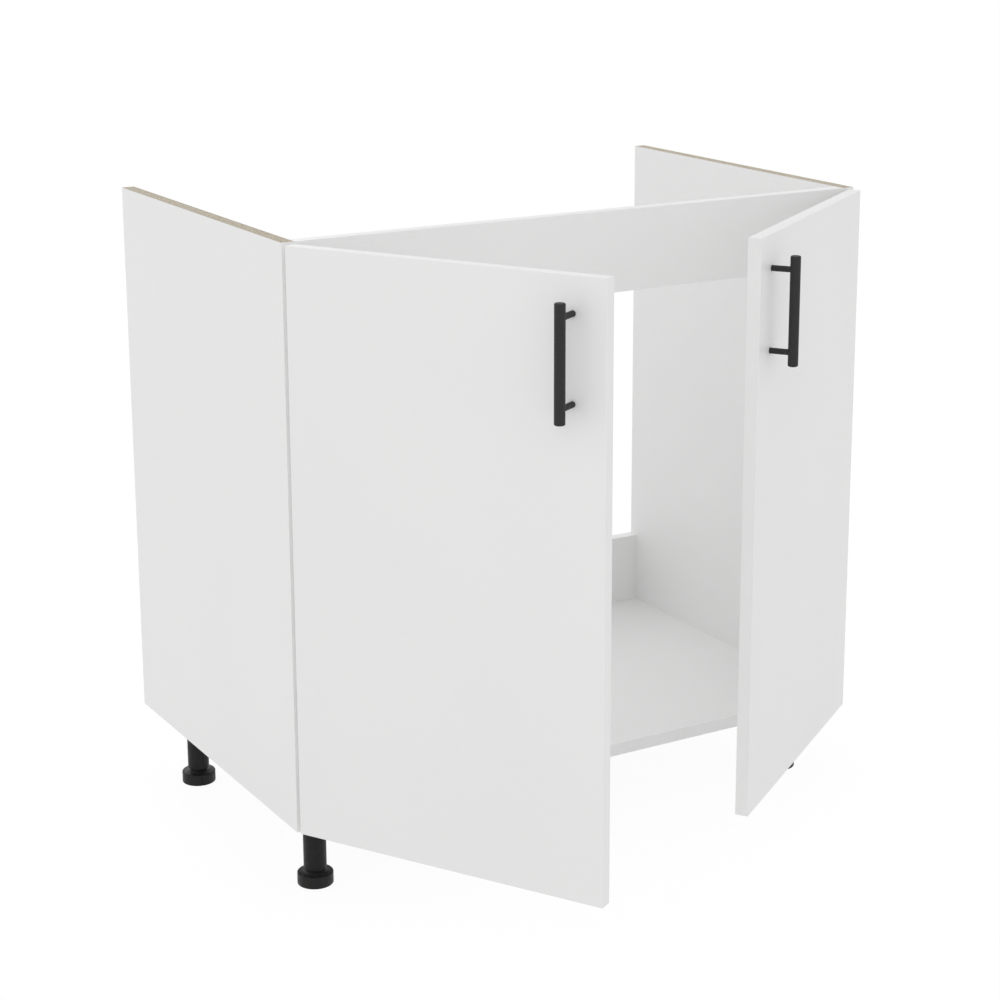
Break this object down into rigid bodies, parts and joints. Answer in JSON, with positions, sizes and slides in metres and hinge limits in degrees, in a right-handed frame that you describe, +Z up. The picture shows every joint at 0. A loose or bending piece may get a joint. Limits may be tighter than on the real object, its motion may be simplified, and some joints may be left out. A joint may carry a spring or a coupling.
{
  "type": "kitchen sink base cabinet",
  "caption": "Kitchen sink base cabinet: white open-topped carcass on black levelling legs, with part-open hinged doors and black bar handles.",
  "frame": {"origin": "on the floor, under the middle of what the cabinet covers with its doors open as pictured", "axes": "+Z up, +Y from the doors to the wall, +X to the right seen from the front"},
  "size_m": [0.8005, 0.833, 0.8],
  "materials": {
    "white_board": "chipboard faced with smooth matt white melamine; raw chipboard on the sides' top, bottom and back edges",
    "edge_band": "matt white plastic edge band",
    "black_handle": "satin black powder coat",
    "black_plastic": "moulded black plastic, slightly glossy",
    "nickel_steel": "nickel-plated pressed steel",
    "screw_steel": "bright zinc-plated steel",
    "zinc_casting": "die-cast zinc alloy",
    "beech": "plain fluted beech dowel",
    "clear_rubber": "translucent soft pad"
  },
  "bodies": {
    "carcass": {"side_panel_left": "white_board", "side_panel_right": "white_board", "side_front_band_left": "edge_band", "side_front_band_right": "edge_band", "bottom_panel": "white_board", "bottom_front_band": "edge_band", "front_rail": "white_board", "rail_bands": "edge_band", "back_strip": "white_board", "back_strip_band": "edge_band", "cam_bolts": "screw_steel", "cam_locks": "zinc_casting", "dowels": "beech", "leg_screws": "screw_steel", "leg_socket_front_left": "black_plastic", "leg_tube_front_left": "black_plastic", "leg_socket_front_right": "black_plastic", "leg_tube_front_right": "black_plastic", "leg_socket_back_left": "black_plastic", "leg_tube_back_left": "black_plastic", "leg_socket_back_right": "black_plastic", "leg_tube_back_right": "black_plastic", "hinge_arms_left": "nickel_steel", "hinge_plates_left": "nickel_steel", "hinge_plate_screws_left": "screw_steel", "hinge_arm_screws_left": "screw_steel", "hinge_arms_right": "nickel_steel", "hinge_plates_right": "nickel_steel", "hinge_plate_screws_right": "screw_steel", "hinge_arm_screws_right": "screw_steel"},
    "door_left": {"door_left": "white_board", "door_bands_left": "edge_band", "door_buffers_left": "clear_rubber", "handle_bar_left": "black_handle", "handle_posts_left": "black_handle", "handle_screws_left": "screw_steel", "hinge_cups_left": "nickel_steel", "hinge_pins_left": "nickel_steel", "hinge_cup_screws_left": "screw_steel"},
    "door_right": {"door_right": "white_board", "door_bands_right": "edge_band", "door_buffers_right": "clear_rubber", "handle_bar_right": "black_handle", "handle_posts_right": "black_handle", "handle_screws_right": "screw_steel", "hinge_cups_right": "nickel_steel", "hinge_pins_right": "nickel_steel", "hinge_cup_screws_right": "screw_steel"},
    "foot_front_left": {"leg_foot_front_left": "black_plastic"},
    "foot_front_right": {"leg_foot_front_right": "black_plastic"},
    "foot_back_left": {"leg_foot_back_left": "black_plastic"},
    "foot_back_right": {"leg_foot_back_right": "black_plastic"}
  },
  "joints": [
    {"name": "door_left_hinge", "type": "hinge", "parent": "carcass", "child": "door_left", "pos_m": [-0.392, -0.07548, 0.45], "axis": [0, 0, -1], "range_deg": [-60, 35]},
    {"name": "door_right_hinge", "type": "hinge", "parent": "carcass", "child": "door_right", "pos_m": [0.392, -0.07548, 0.45], "axis": [0, 0, 1], "range_deg": [-35, 60]},
    {"name": "foot_front_left_screw", "type": "slide", "parent": "carcass", "child": "foot_front_left", "axis": [0, 0, -1], "range_m": [0, 0.022]},
    {"name": "foot_front_right_screw", "type": "slide", "parent": "carcass", "child": "foot_front_right", "axis": [0, 0, -1], "range_m": [0, 0.022]},
    {"name": "foot_back_left_screw", "type": "slide", "parent": "carcass", "child": "foot_back_left", "axis": [0, 0, -1], "range_m": [0, 0.022]},
    {"name": "foot_back_right_screw", "type": "slide", "parent": "carcass", "child": "foot_back_right", "axis": [0, 0, -1], "range_m": [0, 0.022]}
  ]
}
